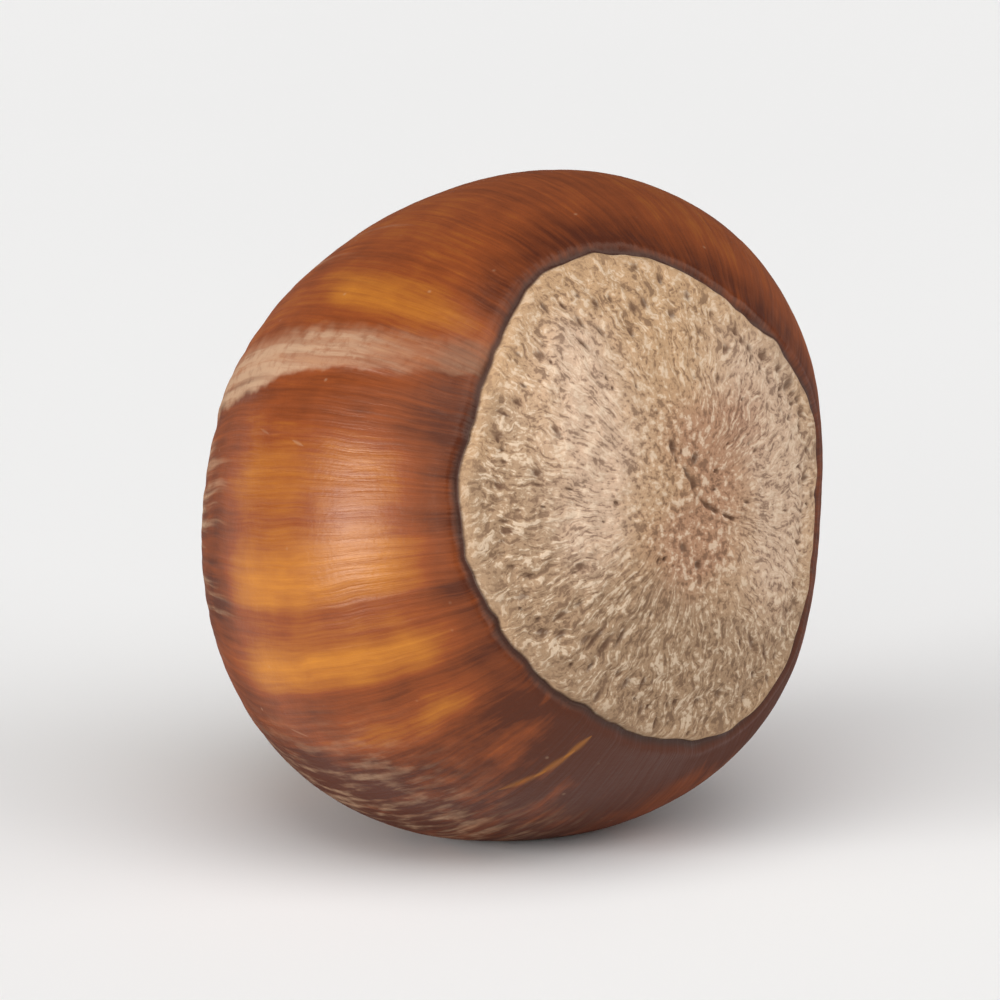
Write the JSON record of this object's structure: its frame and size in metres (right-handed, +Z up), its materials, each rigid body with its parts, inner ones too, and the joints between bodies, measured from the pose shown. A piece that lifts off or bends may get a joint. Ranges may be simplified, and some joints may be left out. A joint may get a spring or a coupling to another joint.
{
  "type": "hazelnut in shell",
  "caption": "Rounded whole hazelnut in its glossy brown shell, lying on its side, with a broad pale base scar and a small blunt tip.",
  "frame": {"origin": "on the surface the nut rests on, under the middle of its bounding box", "axes": "+Z up; the base scar looks towards -Y and 12 degrees up, and the pointed tip is at +Y; +X is to the right when the scar is looked at"},
  "size_m": [0.0194, 0.0192, 0.0197],
  "materials": {
    "nutshell": "satin red-brown shell streaked with golden brown, a matte tan scar at the base and pale down near the tip"
  },
  "bodies": {
    "root": {"hazelnut": "nutshell"}
  },
  "joints": []
}
